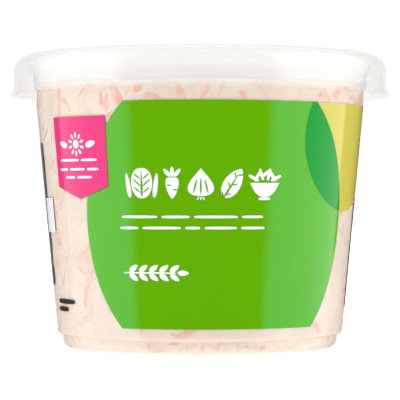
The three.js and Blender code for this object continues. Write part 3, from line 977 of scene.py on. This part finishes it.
def floor_finish():
    """White paper, bright enough that only the touch of the tub darkens it."""
    paint = Paint(bpy.data.materials.new("white_paper"))
    paper = paint.shader(
        "BsdfPrincipled",
        Base_Color=colour(250, 250, 250),
        Roughness=0.9,
        Specular_IOR_Level=0.1,
        Emission_Color=WHITE,
        Emission_Strength=0.48,
        Normal=paint.bump(paint.noise(paint.place(), 1.5 * MM), 0.02 * MM),
    )
    return paint.finish(paper)


# -------- the tub, lid, label and slaw


def make_plastic():
    """The clear tub and the milky lid. Soft light passes the thin lid as if it weren't there."""
    piece("tub_shell", turned(tub_outline()), clear_plastic(), ["tub"])
    lid = piece("lid_shell", turned(lid_outline()), milky_plastic(), ["lid"])
    lid.visible_diffuse = False


def make_label():
    """The printed fields, each with its ink, and the marks on them."""
    green = print_finish("print_green", (0.12, 0.40, 0.0, 1.0), tint=(0.0, 1.0, 0.55, 1.0), level=0.6)
    lens = print_finish("print_dark_green", (0.012, 0.27, 0.012, 1.0), tint=(0.0, 0.9, 0.4, 1.0))
    yellow = print_finish("print_yellow", (0.62, 0.53, 0.065, 1.0), tint=(1.0, 1.0, 0.8, 1.0))
    pink = print_finish("print_pink", (0.74, 0.032, 0.19, 1.0), tint=(1.0, 0.3, 0.5, 1.0))
    charcoal = print_finish("print_charcoal", (0.06, 0.06, 0.065, 1.0))
    white = print_finish("print_white", (0.93, 0.94, 0.95, 1.0))
    shadow = shade_finish("print_shadow", 0.18)
    piece("green_field", green_field(), green, ["label_green"])
    piece("lens_field", lens_field(), lens, ["label_lens"])
    piece("yellow_field", yellow_field(), yellow, ["label_yellow"])
    piece("flag_field", flag_field(FLAG_LAYER), pink, ["label_flag"])
    piece("flag_shadow", flag_field(SHADOW_LAYER, **FLAG_SHADOW), shadow)
    piece("panel_field", box(PANEL, PANEL_LAYER), charcoal, ["label_panel"])
    piece("table_field", box(TABLE, PANEL_LAYER), charcoal, ["label_table"])
    piece("tab_field", box(TAB, PANEL_MARK_LAYER), white, ["label_tab"])
    make_marks(white, green)


# {how far across, in mm: the mark there}
TITLE_MARKS = {-18.7: cabbage_mark, -9.3: carrot_mark, -0.8: onion_mark, 8.7: leaf_mark, 18.7: bowl_mark}


def make_marks(white, green):
    """Generic marks: four plants and a bowl in a row, bars in the place of words, a sprig and a burst. The
    veins are green ink over the white."""
    ink, veins = [], []
    angle, z, size = TITLE
    for across, title_mark in TITLE_MARKS.items():
        inked, veined = title_mark((angle + np.degrees(across * MM / wall(z)), z, size))
        ink += inked
        veins += veined
    ink += words(SUBTITLE_ANGLE, SUBTITLE, 0.85 * MM, gap=1.3 * MM)
    ink += sprig_mark(SPRIG, SPRIG_LENGTH)
    ink += burst_mark(BURST)
    ink += words(FLAG_MARK_ANGLE, FLAG_NOTE, 0.75 * MM, gap=1.1 * MM)
    piece("white_marks", joined(ink), white)
    piece("green_veins", joined(veins), green)
    black = print_finish("print_ink", (0.02, 0.02, 0.022, 1.0), roughness=0.3, level=0.1)
    weight = words(WEIGHT_ANGLE, WEIGHT, 1.5 * MM, start=WEIGHT_START, layer=PANEL_MARK_LAYER)
    piece("dark_marks", joined(weight), black)
    pale = print_finish("print_pale_grey", (0.5, 0.51, 0.52, 1.0))
    small = small_print(PANEL, columns=3, pitch=2.7 * MM) + table_rules(TABLE, rows=8)
    piece("small_print", joined(small), pale)


def make_slaw():
    """The dressing, and over it the cabbage, carrot and onion shreds: at the wall, in the foot and on top."""
    piece("dressing", dressing_core(), dressing(), ["coleslaw"])
    cabbage = shred_finish("cabbage", colour(235, 223, 208), colour(222, 201, 185), 0.7)
    carrot = shred_finish("carrot", colour(236, 172, 150), colour(234, 146, 122), 0.9)
    onion = shred_finish("onion", colour(225, 206, 193), colour(216, 190, 176), 0.6)
    foot = {"low": 2.0 * MM, "high": 3.4 * MM}
    band = {"low": 75.5 * MM, "high": 81.2 * MM, "aside": 240}
    slaw_piece(
        "cabbage_shreds",
        [
            wall_shreds(560, (8 * MM, 26 * MM), (1.6 * MM, 3.4 * MM), 0.1 * MM),
            wall_shreds(50, (5 * MM, 14 * MM), (1.0 * MM, 1.7 * MM), 0.12 * MM, **foot),
            top_shreds(230, (12 * MM, 34 * MM), (1.6 * MM, 3.2 * MM)),
        ],
        cabbage,
    )
    slaw_piece(
        "carrot_shreds",
        [
            wall_shreds(210, (4 * MM, 19 * MM), (1.0 * MM, 2.5 * MM), 0.2 * MM, aside=210),
            wall_shreds(26, (3 * MM, 12 * MM), (0.9 * MM, 1.7 * MM), 0.14 * MM, **foot),
            wall_shreds(40, (3 * MM, 16 * MM), (1.2 * MM, 3.4 * MM), 0.24 * MM, **band),
            top_shreds(80, (8 * MM, 24 * MM), (1.3 * MM, 2.4 * MM)),
        ],
        carrot,
    )
    slaw_piece(
        "onion_shreds",
        [
            wall_shreds(90, (6 * MM, 14 * MM), (1.4 * MM, 2.6 * MM), 0.18 * MM),
            wall_shreds(10, (4 * MM, 9 * MM), (1.0 * MM, 1.6 * MM), 0.12 * MM, **foot),
            top_shreds(40, (8 * MM, 18 * MM), (1.4 * MM, 2.4 * MM)),
        ],
        onion,
    )


# -------- studio

# The two angles from the front, to either side, that an edge fades between.
LIGHT_START = (46, 57)
LIGHT_END_RIGHT = (120, 125)
LIGHT_END_LEFT = (114, 119)
DARK_REAR_RIGHT = (140, 160)
# The same for heights of a direction: 0 is level, and 1 straight down or straight up.
FLOOR_EDGE = (0.45, 0.75)
TOP_EDGE = (0.55, 0.8)
OVERHEAD_EDGE = (0.8, 0.95)


def make_floor():
    """A square of paper under the tub, which gloss doesn't mirror."""
    signs = ((-1, -1), (1, -1), (1, 1), (-1, 1))
    corners = [(x * FLOOR_REACH, y * FLOOR_REACH, 0) for x, y in signs]
    mesh = bpy.data.meshes.new("paper_floor")
    mesh.from_pydata(corners, [], [(0, 1, 2, 3)])
    mesh.materials.append(floor_finish())
    floor = placed("paper_floor", mesh)
    floor.visible_glossy = False


def make_studio():
    """White all round for the eye. Gloss mirrors a dark front, a tall side light on each side, a dim rear
    that is darker on the right, and a white top and floor. Soft light comes from all round, with more from
    the side lights, from the top and from straight overhead."""
    world = bpy.data.worlds.new("studio")
    paint = Paint(world)
    x, y, z = paint.split(paint.add("TexCoord", output="Generated"))
    right = paint.maths("ARCTAN2", x, -1 * y) * (180 / math.pi)
    left = -1 * right
    rear = right.rising(*LIGHT_END_RIGHT) + left.rising(*LIGHT_END_LEFT)
    side_light = (right.rising(*LIGHT_START) + left.rising(*LIGHT_START)) * (1 - rear)
    top = z.rising(*TOP_EDGE)
    floor = (-1 * z).rising(*FLOOR_EDGE)
    sides = 0.02 + 2.0 * side_light + 0.2 * rear - 0.16 * right.rising(*DARK_REAR_RIGHT)
    mirrored = sides * (1 - top - floor) + 1.3 * (top + floor)
    soft = 0.6 + 0.62 * side_light + 0.4 * top + 0.25 * z.rising(*OVERHEAD_EDGE)
    glossy = paint.add("LightPath", output="Is Glossy Ray")
    straight = paint.add("LightPath", output="Is Camera Ray")
    light = soft * (1 - glossy) + mirrored * glossy
    strength = light * (1 - straight) + straight
    paint.finish(paint.shader("Background", Color=WHITE, Strength=strength))
    bpy.context.scene.world = world
    world.cycles.sampling_method = "NONE"


def make_camera():
    """A long lens, level, in front of the tub at about half its height."""
    camera = bpy.data.cameras.new("camera")
    camera.lens = CAMERA_LENS
    camera.sensor_width = 36
    camera.clip_start = 0.01
    made = placed("camera", camera)
    made.location = (0, -CAMERA_DISTANCE, CAMERA_HEIGHT)
    made.rotation_euler = (math.pi / 2, 0, 0)
    bpy.context.scene.camera = made


make_camera()
make_floor()
make_studio()
make_plastic()
make_label()
make_slaw()
bpy.context.scene.view_settings.view_transform = "Standard"
bpy.context.scene.cycles.transparent_max_bounces = 32
